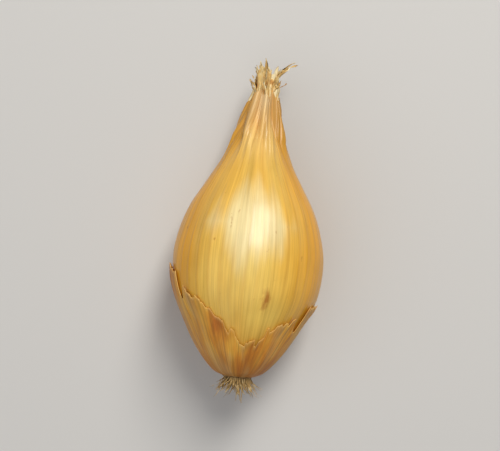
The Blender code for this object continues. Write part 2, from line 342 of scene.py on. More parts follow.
# %% [markdown]
# ## The skin's own pattern
#
# Fibres and stains follow the leaf, not the room. So every pattern reads the place on the skin
# that the mesh carries in its `skin_place` attribute, in millimetres, and is drawn out from root
# to neck. The fibres of a real skin are about 0.05 mm wide. Here the finest are 0.2 mm, so that
# they show.

# %% Noise along the fibres
def skin_noise(tree, width_mm, stretch, detail=2.0, seed=0.0):
    """Noise on the skin's own place, width_mm wide and stretch times as long."""
    place = add(tree, "Attribute", attribute_name="skin_place").outputs["Vector"]
    scale = (1 / width_mm, 1 / width_mm, 1 / (width_mm * stretch))
    moved = add(tree, "Mapping", {"Vector": place, "Scale": scale, "Location": (seed,) * 3})
    return add(tree, "TexNoise", {"Vector": moved, "Scale": 1.0, "Detail": detail})


def swing(tree, width_mm, stretch, detail=2.0, seed=0.0):
    """The same noise, moved so that its middle is 0."""
    noise_here = skin_noise(tree, width_mm, stretch, detail, seed)
    return add(tree, "Math", {0: noise_here, 1: 0.5}, operation="SUBTRACT")


# %% [markdown]
# ## Golden skin: dry onion scale leaf
#
# The real skin is a dead, dried leaf: thin, slightly translucent, satin because its outer cells
# dried flat. It gives the eye a broad soft glare that breaks up along the fibres, a gold with a
# painted highlight, a pale spot where the glare falls on top, and painted shade, a deeper ochre,
# on the flanks and underside, a paler tan with coarse threads where it shrank at the neck,
# painted shade in the bottoms of the neck's pleats, and faint darker lines where the veins run.

# %% The golden skin's ground colour
# Shares of the length and the colour there
TOP_COLOURS = (
    (0.00, "#A87428"),
    (0.10, "#D6A242"),
    (0.22, "#F8D870"),
    (0.50, "#EFCE6E"),
    (0.72, "#E9C262"),
    (0.82, "#FAD684"),
    (0.92, "#F6CC86"),
    (1.00, "#EED2A0"),
)
# Deeper, darker ochres that are painted shade on the flanks and the underside
SHADED_FLANK_COLOURS = ((0.1, "#CC9020"), (0.45, "#EDA50E"), (0.7, "#E8A318"), (0.9, "#C08A30"))
RAGGED_MM = 7.0
OCHRE_SHARE = 0.34
# Painted shade on the flanks, by depth: the top is at -10.5, a side at 0, and chance adds up to
# RAGGED_MM
FLANK_SHADE_START_MM, FLANK_SHADE_FULL_MM = -9.4, -1.0
# The painted highlight, a pale spot where the glare falls on top: its height on the bulb, how far
# out it is full and ends, and how ragged
HIGHLIGHT_AT_MM = 21.0
HIGHLIGHT_FULL_MM, HIGHLIGHT_END_MM = 2.4, 5.2
HIGHLIGHT_RAGGED_MM = 4.0
# Along the bulb a millimetre counts as less, so that the spot is a long one
HIGHLIGHT_ALONG = 0.42


def golden_tone(tree, x_y_z):
    """The colour before fibres and veins, from roots to neck and from the top to the flanks."""
    patches = skin_noise(tree, 7.0, 1.8, detail=3.0, seed=2.0)
    raised = {0: patches, 1: RAGGED_MM, 2: x_y_z["Z"]}
    ragged = add(tree, "Math", raised, operation="MULTIPLY_ADD")
    start = RAGGED_MM / 2
    length = {"Value": ragged, "From Min": start, "From Max": start + BULB_LENGTH / MM}
    along = add(tree, "MapRange", length)
    on_top = add(tree, "ValToRGB", {"Fac": along}, TOP_COLOURS)
    # Painted shade: the flanks and the underside get a deeper, darker ochre
    shaded_flanks = add(tree, "ValToRGB", {"Fac": along}, SHADED_FLANK_COLOURS)
    wavy = skin_noise(tree, 5.0, 2.5, seed=14.0)
    side = add(tree, "Math", {0: wavy, 1: RAGGED_MM, 2: x_y_z["Y"]}, operation="MULTIPLY_ADD")
    down = {"Value": side, "From Min": FLANK_SHADE_START_MM, "From Max": FLANK_SHADE_FULL_MM, "To Max": 0.92}
    flank_shade = add(tree, "MapRange", down, interpolation_type="SMOOTHSTEP")
    flank_shaded = add(tree, "Mix", {0: flank_shade, 6: on_top, 7: shaded_flanks}, data_type="RGBA")
    stains = skin_noise(tree, 2.6, 4.0, seed=7.0)
    stained = add(tree, "Math", {0: stains, 1: OCHRE_SHARE}, operation="MULTIPLY")
    ochre = add(tree, "Mix", {0: stained, 6: flank_shaded, 7: linear("#C88C2A")}, data_type="RGBA")
    # Painted highlight: the middle of the top is paled where the glare falls
    off_middle = add(tree, "Math", {0: x_y_z["Z"], 1: HIGHLIGHT_AT_MM}, operation="SUBTRACT")
    apart = add(tree, "Math", {0: off_middle}, operation="ABSOLUTE")
    off_top = add(tree, "Math", {0: x_y_z["Y"], 1: BULB_RADIUS / MM}, operation="ADD")
    away = add(tree, "Math", {0: apart, 1: HIGHLIGHT_ALONG, 2: off_top}, operation="MULTIPLY_ADD")
    uneven = skin_noise(tree, 2.4, 5.0, detail=3.0, seed=41.0)
    faded = add(tree, "Math", {0: uneven, 1: HIGHLIGHT_RAGGED_MM, 2: away}, operation="MULTIPLY_ADD")
    fading = {"Value": faded, "From Min": HIGHLIGHT_FULL_MM, "From Max": HIGHLIGHT_END_MM}
    fading.update({"To Min": 0.8, "To Max": 0.0})
    painted_highlight = add(tree, "MapRange", fading, interpolation_type="SMOOTHSTEP")
    return add(tree, "Mix", {0: painted_highlight, 6: ochre, 7: linear("#F6E4AC")}, data_type="RGBA")


# %% Specks on the golden skin
# The long speck's place on the skin and its size in mm, and how much longer than wide it is
SPECK_PLACE = (3.15, -10.0, 10.7)
SPECK_MM, SPECK_STRETCH = 0.5, 2.2


def speck_share(tree, place):
    """One long brown speck on the belly, and a few faint ones that chance puts elsewhere."""
    there = add(tree, "VectorMath", {0: place, 1: SPECK_PLACE}, operation="SUBTRACT")
    drawn_out = {0: there, 1: (1.0, 1.0, SPECK_STRETCH)}
    nearer = add(tree, "VectorMath", drawn_out, operation="DIVIDE")
    near = add(tree, "VectorMath", {0: nearer}, operation="LENGTH")
    blurred = skin_noise(tree, 0.5, 2.0, seed=21.0)
    ragged = add(tree, "Math", {0: blurred, 1: 1.4, 2: near}, operation="MULTIPLY_ADD")
    fading = {"Value": ragged, "From Min": SPECK_MM + 0.3, "From Max": SPECK_MM + 1.0}
    fading.update({"To Min": 0.75, "To Max": 0.0})
    speck = add(tree, "MapRange", fading)
    rare = skin_noise(tree, 0.8, 1.6, seed=31.0)
    rarely = {"Value": rare, "From Min": 0.7, "From Max": 0.78, "To Max": 0.5}
    chance = add(tree, "MapRange", rarely)
    return add(tree, "Math", {0: speck, 1: chance}, operation="MAXIMUM")


# %% Golden skin material
GOLD_ROUGHNESS = 0.33
# How strongly the painted shade in the pleats and the veins darken the skin
PLEAT_SHADE_SHARE, VEIN_SHARE = 0.34, 0.22


def golden_skin_material():
    material, tree, shader = new_material("dry_golden_onion_skin")
    place = add(tree, "Attribute", attribute_name="skin_place").outputs["Vector"]
    x_y_z = add(tree, "SeparateXYZ", {"Vector": place}).outputs
    fibres = swing(tree, 0.2, 40.0, detail=3.0, seed=5.0)
    streaks = swing(tree, 0.6, 24.0, detail=3.0, seed=15.0)
    threads = swing(tree, 1.0, 14.0, detail=3.0, seed=51.0)
    mottle = swing(tree, 3.4, 1.3, detail=4.0, seed=61.0)
    bands = swing(tree, 1.6, 10.0, seed=11.0)
    # Where the skin shrank to the neck its fibres lie closer, and show as coarse threads
    rising = {"Value": x_y_z["Z"], "From Min": 29.0, "From Max": 36.0, "To Max": 0.95}
    neck = add(tree, "MapRange", rising, interpolation_type="SMOOTHSTEP")
    shade = 1.0
    for noise_here, share in (
        (streaks, 0.34), (fibres, 0.5), (threads, neck), (mottle, 0.3), (bands, 0.3)
    ):
        shade = add(tree, "Math", {0: noise_here, 1: share, 2: shade}, operation="MULTIPLY_ADD")
    shaded = {0: 1.0, 6: golden_tone(tree, x_y_z), 7: shade}
    streaked = add(tree, "Mix", shaded, data_type="RGBA", blend_type="MULTIPLY")
    # Painted shade: the bottoms of the neck's pleats are darkened
    pleat_shade = add(tree, "Attribute", attribute_name="pleat_shade").outputs["Fac"]
    painted_pleat_shade = add(tree, "Math", {0: pleat_shade, 1: PLEAT_SHADE_SHARE}, operation="MULTIPLY")
    dark = add(tree, "Mix", {0: painted_pleat_shade, 6: streaked, 7: linear("#A06A2A")}, data_type="RGBA")
    vein = add(tree, "Attribute", attribute_name="vein").outputs["Fac"]
    on_vein = add(tree, "Math", {0: vein, 1: VEIN_SHARE}, operation="MULTIPLY")
    veined = add(tree, "Mix", {0: on_vein, 6: dark, 7: linear("#BE7A24")}, data_type="RGBA")
    specks = {0: speck_share(tree, place), 6: veined, 7: linear("#A4581A")}
    spotted = add(tree, "Mix", specks, data_type="RGBA")
    rough = GOLD_ROUGHNESS
    for noise_here, share in ((fibres, 0.2), (streaks, 0.3)):
        rough = add(tree, "Math", {0: noise_here, 1: share, 2: rough}, operation="MULTIPLY_ADD")
    grain = skin_noise(tree, 0.25, 16.0, detail=3.0, seed=3.0)
    bump = add(tree, "Bump", {"Strength": 0.6, "Distance": 0.03 * MM, "Height": grain})
    feed(tree, shader, {"Base Color": spotted, "Roughness": rough, "Normal": bump, "IOR": 1.5})
    feed(tree, shader, {"Specular IOR Level": 0.3, "Coat Weight": 0.15, "Coat Roughness": 0.2})
    return material


golden_skin_look = golden_skin_material()
tell(golden_skin_look)

# %% [markdown]
# ## The golden skin's mesh
#
# The profile starts in the hollow that the root plate fills, turns over the rim, follows the
# outline and closes inside the frayed neck. After the spin each point is moved to its uneven
# place. The veins stand up as low ridges, the body has faint dents, and the neck gets more and
# finer pleats. Where the bulb would reach below the table, it is flat: that is the spot it rests
# on.

# %% The skin's relief
VEIN_HEIGHT = 0.055 * MM
DENT, FINE_DENT, CREASE = 0.24 * MM, 0.05 * MM, 0.12 * MM
NARROW_PLEATS, NARROW_PLEAT_DEPTH = 17, 0.11 * MM
FIBRE_PLEATS, FIBRE_PLEAT_DEPTH = 43, 0.045 * MM
SHRUNK_START, SHRUNK_FULL = 0.66, 0.9


def narrow_pleats(height, angle):
    """Grows by a full turn from each narrow pleat to the next."""
    return NARROW_PLEATS * angle + 2.5 * wander(angle, height, 6 * MM, stretch=3, seed=6.6)


def fibre_pleats(height, angle):
    """The same for pleats as narrow as a few fibres."""
    return FIBRE_PLEATS * angle + 4.5 * wander(angle, height, 5 * MM, stretch=3, seed=7.7)


def golden_relief(height, angle):
    """How far the fine surface stands off the plain one."""
    size = outline_radius(height) / BULB_RADIUS
    neck = smooth_step(SHRUNK_START, SHRUNK_FULL, height / BULB_LENGTH)
    ridge = vein_ridge(height, angle) * VEIN_HEIGHT * size
    dent = wander(angle, height, 6 * MM, stretch=1.6, seed=2.9) * DENT * size
    dent += wander(angle, height, 2.2 * MM, stretch=5, seed=5.2) * FINE_DENT * size
    pleats = math.cos(narrow_pleats(height, angle)) * NARROW_PLEAT_DEPTH
    pleats += math.cos(fibre_pleats(height, angle)) * FIBRE_PLEAT_DEPTH
    crease = wander(angle, height, 1.5 * MM, stretch=6, seed=8.8) * CREASE
    return ridge + dent + (pleats + crease) * neck


def skin_point(height, angle, lift=0.0, share=1.0):
    """A point of the bulb, laid down: lift raises it, share draws it in towards the axis."""
    radius = share * (outline_radius(height) * unevenness(height, angle) + lift)
    upright_point = Vector((radius * math.cos(angle), radius * math.sin(angle), height))
    point = PLACE @ (upright_point + neck_offset(height))
    point.z = max(point.z, 0.0)
    return point


print("neck's top in mm:", in_mm(skin_point(BULB_LENGTH, TOP)))

# %% What the pattern needs to know
def pleat_valley(height, angle):
    """1 in the bottom of the neck's pleats, 0 on their crests and on the body."""
    neck = smooth_step(NECK_START, NECK_FULL, height / BULB_LENGTH)
    wide = 0.5 - 0.5 * math.cos(wide_pleats(neck, angle))
    narrow = 0.5 - 0.5 * math.cos(narrow_pleats(height, angle))
    fibre = 0.5 - 0.5 * math.cos(fibre_pleats(height, angle))
    return neck * (0.5 * wide**3 + 0.3 * narrow**3 + 0.2 * fibre**2)


def mark_place(shape):
    """A function that writes a vertex's place on the skin in mm, its vein and its pleat shade."""
    place = shape.verts.layers.float_vector.new("skin_place")
    vein = shape.verts.layers.float.new("vein")
    pleat_shade = shape.verts.layers.float.new("pleat_shade")

    def mark(vertex, height, angle, strength=1.0):
        x, y = math.cos(angle) * BULB_RADIUS, math.sin(angle) * BULB_RADIUS
        vertex[place] = Vector((x, y, height)) / MM
        vertex[vein] = vein_ridge(height, angle) * strength
        vertex[pleat_shade] = pleat_valley(height, angle)

    return mark


# %% Golden skin mesh
SKIN_COLUMNS = 360
SKIN_ROW = 0.2 * MM
SKIN_TOP, TIP_RISE = 41.8 * MM, 0.3 * MM
SOCKET_RADIUS, SOCKET_DEPTH = 2.45 * MM, 0.75 * MM


def golden_skin():
    """The closed skin from the hollow at the roots to the neck's end."""
    rows = round((SKIN_TOP - ROOT_RIM) / SKIN_ROW)
    heights = [ROOT_RIM + (SKIN_TOP - ROOT_RIM) * i / rows for i in range(rows + 1)]
    socket = [(0, SOCKET_DEPTH), (SOCKET_RADIUS * 0.6, SOCKET_DEPTH)]
    socket.append((SOCKET_RADIUS, SOCKET_DEPTH * 0.8))
    side = [(outline_radius(height), height) for height in heights]
    tip = [(side[-1][0] * 0.5, SKIN_TOP + TIP_RISE * 5 / 6), (0, SKIN_TOP + TIP_RISE)]
    shape = spun(socket + side + tip, SKIN_COLUMNS, "golden_skin")
    mark = mark_place(shape)
    for vertex in shape.verts:
        x, y, height = vertex.co
        angle, radius = math.atan2(y, x), math.hypot(x, y)
        share = radius / outline_radius(height)
        on_side = smooth_step(0.8, 0.98, share)
        mark(vertex, height, angle, on_side)
        vertex.co = skin_point(height, angle, golden_relief(height, angle) * on_side, share)
    return shape


make_piece(golden_skin(), "golden_skin", golden_skin_look, "bulb", "dry_skin")

# %% [markdown]
# ## Where the old skin tore
#
# Each year's outermost skin dries, goes brown and tears. It tears along the fibres, so the edge
# runs in steps from vein to vein, with a few deep splits. The broad course of the edge is that of
# the solid: low on top, high at the left side, less high at the right. The fine steps are added
# to it here.

# %% The torn edge
OLD_SKIN_START = 0.55 * MM
OLD_SKIN_LOWEST = 3.9 * MM
# Where the edge rises: the angle, by how much, and the half width
OLD_SKIN_LOBES = (
    (LEFT, 10.8 * MM, 1.95),
    (RIGHT, 6.8 * MM, 1.80),
    (UNDER, 2.2 * MM, 0.75),
)
# Where it split: the angle and how deep
TEARS = ((2.44, 3.4 * MM), (3.66, 3.0 * MM), (5.76, 2.2 * MM), (0.52, 2.6 * MM))
TEAR_HALF_WIDTH = 0.15
STRIP_RAG = 0.525 * MM
# Strips round the bulb, how far their ends differ, and a seed
FINE_RAGS = ((71, 0.45 * MM, 1.0), (180, 0.22 * MM, 5.0))
# A sine of large steps, times a large number, ends in digits that look like chance
CHANCE_STEP, CHANCE_SPREAD = 12.9898, 43758.5453


def swell(angle, centre, half_width):
    """1 at the centre angle, falling smoothly to 0 at half_width from it."""
    apart = (angle - centre) % math.tau
    share = min(1.0, min(apart, math.tau - apart) / half_width)
    return math.cos(share * math.pi / 2) ** 2


def strip_chance(strip, seed):
    """A value from 0 to 1 that looks like chance and is always the same for one strip."""
    return math.sin(CHANCE_STEP * strip + seed) * CHANCE_SPREAD % 1


def rag(angle, strips, seed):
    """A chance value from -1 to 1 for each strip, with a short slope to the next strip's."""
    place = (angle / math.tau % 1) * strips
    first, slope = int(place), smooth_step(0.78, 1.0, place % 1)
    here, there = strip_chance(first % strips, seed), strip_chance((first + 1) % strips, seed)
    return 2 * (here + (there - here) * slope) - 1


def torn_edge(angle):
    """The height at which the old skin ends, at this angle."""
    lobes = sum(rise * swell(angle, centre, width) for centre, rise, width in OLD_SKIN_LOBES)
    tears = sum(depth * swell(angle, centre, TEAR_HALF_WIDTH) for centre, depth in TEARS)
    strip = round(angle / math.tau * VEINS) % VEINS
    steps = STRIP_RAG * math.sin(2.3 * strip + 1.7 * math.sin(1.1 * strip))
    fine = sum(depth * rag(angle, strips, seed) for strips, depth, seed in FINE_RAGS)
    return OLD_SKIN_LOWEST + lobes - tears + steps + fine


edge_heights = [round(torn_edge(math.radians(degrees)) / MM, 1) for degrees in range(0, 360, 30)]
print("torn edge in mm every 30 degrees:", edge_heights)

# %% [markdown]
# ## Old skin: weathered onion scale leaf
#
# The same kind of leaf, a layer older: it has lost its satin, gone brown and brittle, greyish
# where it is worn thin, and soil has stained it towards the roots. It gives the eye a matt,
# streaky brown with a paler, bleached rim where it tore.

# %% Old skin material
SOIL_RAGGED_MM = 4.0
OLD_ROUGHNESS = 0.55
OLD_VEIN_SHARE, RIM_SHARE = 0.4, 0.4


def old_skin_material():
    material, tree, shader = new_material("weathered_onion_skin")
    place = add(tree, "Attribute", attribute_name="skin_place").outputs["Vector"]
    height = add(tree, "SeparateXYZ", {"Vector": place}).outputs["Z"]
    patches = skin_noise(tree, 3.0, 2.0, detail=4.0, seed=1.0)
    browns = ((0.32, "#BC6E20"), (0.48, "#D8902C"), (0.66, "#E6AC40"))
    brown = add(tree, "ValToRGB", {"Fac": patches}, browns)
    # Soil has stained it near the roots
    ragged = skin_noise(tree, 2.0, 1.5, detail=3.0, seed=17.0)
    raised = {0: ragged, 1: SOIL_RAGGED_MM, 2: height}
    stain = add(tree, "Math", raised, operation="MULTIPLY_ADD")
    fading = {"Value": stain, "From Min": 2.6, "From Max": 6.0, "To Min": 0.6, "To Max": 0.0}
    soil = add(tree, "MapRange", fading, interpolation_type="SMOOTHSTEP")
    soiled = add(tree, "Mix", {0: soil, 6: brown, 7: linear("#A45C1A")}, data_type="RGBA")
    # Where it is worn thin it has gone greyish
    thin = skin_noise(tree, 4.0, 2.0, detail=3.0, seed=27.0)
    patchy = {"Value": thin, "From Min": 0.46, "From Max": 0.62, "To Max": 0.5}
    worn = add(tree, "MapRange", patchy, interpolation_type="SMOOTHSTEP")
    greyed = add(tree, "Mix", {0: worn, 6: soiled, 7: linear("#C8A064")}, data_type="RGBA")
    streaks = swing(tree, 0.3, 26.0, detail=4.0, seed=9.0)
    shade = add(tree, "Math", {0: streaks, 1: 1.1, 2: 1.0}, operation="MULTIPLY_ADD")
    shaded = {0: 1.0, 6: greyed, 7: shade}
    streaked = add(tree, "Mix", shaded, data_type="RGBA", blend_type="MULTIPLY")
    vein = add(tree, "Attribute", attribute_name="vein").outputs["Fac"]
    on_vein = add(tree, "Math", {0: vein, 1: OLD_VEIN_SHARE}, operation="MULTIPLY")
    veined = add(tree, "Mix", {0: on_vein, 6: streaked, 7: linear("#96591C")}, data_type="RGBA")
    rim = add(tree, "Attribute", attribute_name="to_edge").outputs["Fac"]
    on_rim = add(tree, "Math", {0: rim, 1: RIM_SHARE}, operation="MULTIPLY")
    rimmed = add(tree, "Mix", {0: on_rim, 6: veined, 7: linear("#E2BC70")}, data_type="RGBA")
    roughened = {0: streaks, 1: 0.3, 2: OLD_ROUGHNESS}
    rough = add(tree, "Math", roughened, operation="MULTIPLY_ADD")
    grain = skin_noise(tree, 0.3, 10.0, detail=3.0, seed=4.0)
    bump = add(tree, "Bump", {"Strength": 0.6, "Distance": 0.05 * MM, "Height": grain})
    feed(tree, shader, {"Base Color": rimmed, "Roughness": rough, "Normal": bump, "IOR": 1.45})
    return material


old_skin_look = old_skin_material()
tell(old_skin_look)

# %% [markdown]
# ## The old skin's mesh
#
# A loose skin could be cloth, but it hardly moves: it hugs the bulb and only its torn rim lifts.
# So it is a sleeve spun in even rows, drawn up to the torn edge, lifted there by a little chance,
# turned in over the root end, and then given its thickness. The real skin is about 0.1 mm thick.

# %% Torn sleeve
SHEET_THICKNESS = 0.09 * MM
RIM_WIDTH = 0.5 * MM
TUCKED_IN = 0.3
TUCKED_DOWN = 0.6 * MM


def torn_sleeve(name, start, edge, lift, columns, rows, tuck=0.0):
    """A sleeve round the bulb from start to edge(angle), standing lift(angle, share) off it.

    Its lowest rows, as a share tuck of them all, turn in over the root end instead, in a soft
    curve. It starts as a plain tube 1 mm high, so a point's height is its share of the rows.
    """
    shape = spun([(MM, i / rows * MM) for i in range(rows + 1)], columns, name)
    to_edge = shape.verts.layers.float.new("to_edge")
    mark = mark_place(shape)
    for vertex in shape.verts:
        row, angle = vertex.co.z / MM, math.atan2(vertex.co.y, vertex.co.x)
        soft = tuck / 4
        share = row - tuck + math.hypot(row - tuck, soft)
        share /= 1 - tuck + math.hypot(1 - tuck, soft)
        turned_in = max(0.0, 1 - row / tuck) if tuck else 0.0
        height = start + (edge(angle) - start) * share - TUCKED_DOWN * turned_in**1.2
        mark(vertex, height, angle)
        vertex[to_edge] = max(0.0, 1 - (edge(angle) - height) / RIM_WIDTH)
        stands_off = golden_relief(height, angle) + lift(angle, share)
        vertex.co = skin_point(height, angle, stands_off, 1 - TUCKED_IN * turned_in**2)
    return shape


# %% Old skin mesh
OLD_SKIN_GAP, OLD_SKIN_RIPPLE, OLD_SKIN_CURL = 0.14 * MM, 0.05 * MM, 0.42 * MM
CURL_START = 0.62
OLD_SKIN_COLUMNS, OLD_SKIN_ROWS, OLD_SKIN_TUCK = 360, 48, 0.12


def old_skin_lift(angle, share):
    """How far the old skin stands off: more towards its rim, where the rim curls."""
    curl = max(0.0, 0.5 + 0.9 * wander(angle, 0, 3.5 * MM, seed=5.5))
    ripple = OLD_SKIN_RIPPLE * wander(angle, share * 10 * MM, 2.0 * MM, stretch=2, seed=3.3)
    return OLD_SKIN_GAP + ripple + OLD_SKIN_CURL * curl * smooth_step(CURL_START, 1.0, share) ** 2


old_skin_rows = (OLD_SKIN_COLUMNS, OLD_SKIN_ROWS, OLD_SKIN_TUCK)
old_skin = torn_sleeve("old_skin", OLD_SKIN_START, torn_edge, old_skin_lift, *old_skin_rows)
make_piece(old_skin, "old_skin", old_skin_look, "outer_skin", "old_skin", SHEET_THICKNESS)

# %% [markdown]
# ## Neck paper: bleached leaf bases
#
# Above the bulb the leaves were dried and rubbed off. Their bases are left as pale, matt, fibrous
# paper, pinkish tan near the bulb and cream where they are thinnest.

# %% Neck paper material
def neck_paper_material():
    material, tree, shader = new_material("bleached_leaf_paper")
    tone = skin_noise(tree, 1.6, 1.5, detail=3.0, seed=12.0)
    papers = ((0.34, "#BC8644"), (0.5, "#DCB872"), (0.64, "#F0DEB0"))
    paper = add(tree, "ValToRGB", {"Fac": tone}, papers)
    fibres = skin_noise(tree, 0.16, 24.0, detail=3.0, seed=22.0)
    shade = add(tree, "MapRange", {"Value": fibres, "To Min": 0.25, "To Max": 1.75})
    shaded = {0: 1.0, 6: paper, 7: shade}
    streaked = add(tree, "Mix", shaded, data_type="RGBA", blend_type="MULTIPLY")
    bump = add(tree, "Bump", {"Strength": 0.6, "Distance": 0.04 * MM, "Height": fibres})
    feed(tree, shader, {"Base Color": streaked, "Roughness": 0.7, "Normal": bump, "IOR": 1.45})
    return material


neck_paper_look = neck_paper_material()
tell(neck_paper_look)

# %% [markdown]
# ## Sheaths round the neck
#
# The golden skin ends at the neck, where it dried and split into points. Inside it a bleached
# leaf base does the same, a little higher. Both are torn sleeves, made with the same function:
# only the start, the edge and the lift differ. Each starts just inside the skin, so that it grows
# out of it without a step.

# %% Neck sheaths
STARTS_INSIDE, STANDS_OFF = 0.16 * MM, 0.1 * MM
WIDE_POINTS, NARROW_POINTS = (0.62, 17), (0.38, 47)


def neck_sheath(name, start, end, points, flare, seed, columns=300, rows=34):
    """A torn sleeve from start to about end. Its ends differ by points and flare out."""

    def edge(angle):
        uneven = 0.0
        for i, (share, strips) in enumerate((WIDE_POINTS, NARROW_POINTS)):
            uneven += share * rag(angle, strips, seed + i)
        return end + points * uneven

    def lift(angle, share):
        loose = max(0.0, 0.45 + 0.9 * wander(angle, 0, 2.5 * MM, seed=seed))
        emerging = -STARTS_INSIDE * (1 - smooth_step(0.0, 0.22, share))
        return emerging + STANDS_OFF * share + flare * loose * smooth_step(0.5, 1.0, share) ** 2

    return torn_sleeve(name, start, edge, lift, columns, rows)


golden_course = {"start": 33.0 * MM, "end": 40.2 * MM, "points": 1.7 * MM, "flare": 0.2 * MM}
golden_sheath = neck_sheath("golden_sheath", **golden_course, seed=7.5)
make_piece(golden_sheath, "golden_sheath", golden_skin_look, "bulb", "dry_skin", SHEET_THICKNESS)
paper_course = {"start": 38.2 * MM, "end": 42.6 * MM, "points": 1.9 * MM, "flare": 0.45 * MM}
paper_sheath = neck_sheath("paper_sheath", **paper_course, seed=3.5, columns=240, rows=24)
paper_slot = ("neck_wisps", "neck_paper")
make_piece(paper_sheath, "paper_sheath", neck_paper_look, *paper_slot, SHEET_THICKNESS)

# %% [markdown]
# ## Ribbons at the neck
#
# A dead leaf base splits into ribbons along its fibres. Each ribbon is a small grid that is bent
# over, twisted, crumpled and torn at its end. The six large ones follow the solid's strips.
# Between them come smaller ones and single fibres. They are drawn by chance from a seeded
# generator, so that they come out the same in every run.

# %% One ribbon
# Where it leaves the neck's round, its length, width, curl and twist
WISPS = (
    (0.15, 6.2 * MM, 2.6 * MM, 1.25, 0.5),
    (1.30, 3.6 * MM, 1.7 * MM, 0.55, -0.6),
    (2.35, 4.6 * MM, 2.0 * MM, 0.75, 0.8),
    (3.45, 4.0 * MM, 1.6 * MM, 0.50, -0.9),
    (4.40, 5.2 * MM, 2.1 * MM, 0.85, 0.7),
    (5.40, 4.2 * MM, 1.8 * MM, 0.45, -0.5),
)
WISP_SIDE = 0.48
WISP_FOOT = 0.4 * MM
NECK_END = BULB_LENGTH + 0.3 * MM
# The size and the depth of the coarse and the fine crumples
CRUMPLES = ((1.3 * MM, 0.5 * MM), (0.5 * MM, 0.16 * MM))
RIBBON_ROWS, RIBBON_COLUMNS, FIBRE_COLUMNS = 26, 12, 3
CUP_RADIUS = 2 * MM
TORN_START, TORN_DEPTH = 0.45, 0.17
# The width as an angle, for rag: just short of a turn, so that the two sides differ
WIDTH_AS_ANGLE = 0.98 * math.tau


def ribbon(index, angle, length, width, curl, twist, foot, side, sunk, columns=RIBBON_COLUMNS):
    """A strip that leaves the neck, curls over, twists, crumples and ends torn.

    Its foot is at height foot, side away from the neck's axis, and it reaches sunk further down
    into the neck.
    """
    shape = bmesh.new()
    bmesh.ops.create_grid(shape, x_segments=columns, y_segments=RIBBON_ROWS, size=0.5)
    place = shape.verts.layers.float_vector.new("skin_place")
    stand = Matrix.Rotation(angle, 4, "Z") @ Matrix.Translation((side, 0, foot))
    for vertex in shape.verts:
        across, along = vertex.co.x, vertex.co.y + 0.5
        vertex[place] = Vector((across * width / MM + 5 * index, 0, along * length / MM))
        fibre = (across + 0.5) * WIDTH_AS_ANGLE
        points = 0.6 * rag(fibre, 3, index) + 0.4 * rag(fibre, 8, index + 1)
        torn = TORN_DEPTH * (1 + points) * smooth_step(TORN_START, 1.0, along)
        reach = along * (1 - torn)
        bent = max(0.0, (reach * (length + sunk) - sunk) / length)
        taper = 0.55 + 0.45 * math.sin(math.pi * min(1.0, 0.25 + 0.8 * along))
        aside = across * width * taper
        cup = aside**2 / (2 * CUP_RADIUS)
        point = Vector((-cup * (1 - along), aside, 0))
        for size, depth in CRUMPLES:
            seat = Vector((aside / size, along * length / (1.6 * size), 3.7 * index))
            push = Vector([noise.noise(seat + Vector((0, 0, 41.3 * axis))) for axis in range(3)])
            point += push * depth * smooth_step(0.05, 0.5, along)
        point.rotate(Matrix.Rotation(twist * bent, 3, "Z"))
        point.rotate(Matrix.Rotation(curl * bent, 3, "Y"))
        bend = max(curl * bent, 0.01)
        run = length * bent / bend
        point += Vector((run * (1 - math.cos(bend)), 0, run * math.sin(bend)))
        point.z -= max(0.0, sunk - reach * (length + sunk))
        vertex.co = PLACE @ (stand @ point + neck_offset(NECK_END))
    return shape


# %% All the ribbons
LONGER, WIDER = 1.12, 1.1
LARGE_SUNK, SMALL_SUNK = 2.2 * MM, 1.0 * MM
SMALL_RIBBONS, SINGLE_FIBRES = 18, 18


def poured_together(shapes):
    """One bmesh that holds all the given ones."""
    whole = bmesh.new()
    carrier = bpy.data.meshes.new("carrier")
    for shape in shapes:
        shape.to_mesh(carrier)
        shape.free()
        whole.from_mesh(carrier)
    bpy.data.meshes.remove(carrier)
    return whole


def neck_ribbons():
    """The large ribbons, then small ones and single fibres whose sizes are drawn by chance."""
    rng = random.Random(11)
    end = outline_radius(BULB_LENGTH)
    shapes = []
    for i, (angle, length, width, curl, twist) in enumerate(WISPS):
        size = (length * LONGER, width * WIDER)
        seat = (NECK_END + WISP_FOOT, end * WISP_SIDE, LARGE_SUNK)
        shapes.append(ribbon(i, angle, *size, curl, twist, *seat))
    for i in range(SMALL_RIBBONS):
        angle, length = rng.uniform(0, math.tau), rng.uniform(2.2, 5.4) * MM
        width, curl = rng.uniform(0.4, 1.4) * MM, rng.uniform(0.05, 0.9)
        twist = rng.uniform(-1.5, 1.5)
        foot, side = NECK_END - rng.uniform(0.2, 1.0) * MM, end * rng.uniform(0.3, 0.85)
        shapes.append(ribbon(i + 10, angle, length, width, curl, twist, foot, side, SMALL_SUNK))
    for i in range(SINGLE_FIBRES):
        angle, length = rng.uniform(0, math.tau), rng.uniform(2.5, 5.6) * MM
        width, curl = rng.uniform(0.07, 0.15) * MM, rng.uniform(0.1, 1.1)
        twist = rng.uniform(-2.5, 2.5)
        foot, side = NECK_END - rng.uniform(0.2, 1.6) * MM, end * rng.uniform(0.5, 1.0)
        seat = (foot, side, SMALL_SUNK, FIBRE_COLUMNS)
        shapes.append(ribbon(i + 40, angle, length, width, curl, twist, *seat))
    return poured_together(shapes)


make_piece(neck_ribbons(), "neck_ribbons", neck_paper_look, *paper_slot, SHEET_THICKNESS)

# %% [markdown]
# ## Roots: dried threads on a corky plate
#
# The root plate is the bulb's stem, pressed to a disc. When dry it is corky and brown, with the
# stubs of last year's roots, some thick, some thin and wiry. A root is a short tube, extruded
# ring by ring from a five-sided face that is led a little aside at each step. That gives a thread
# that curls, tapers and stays light, as there are many of them.

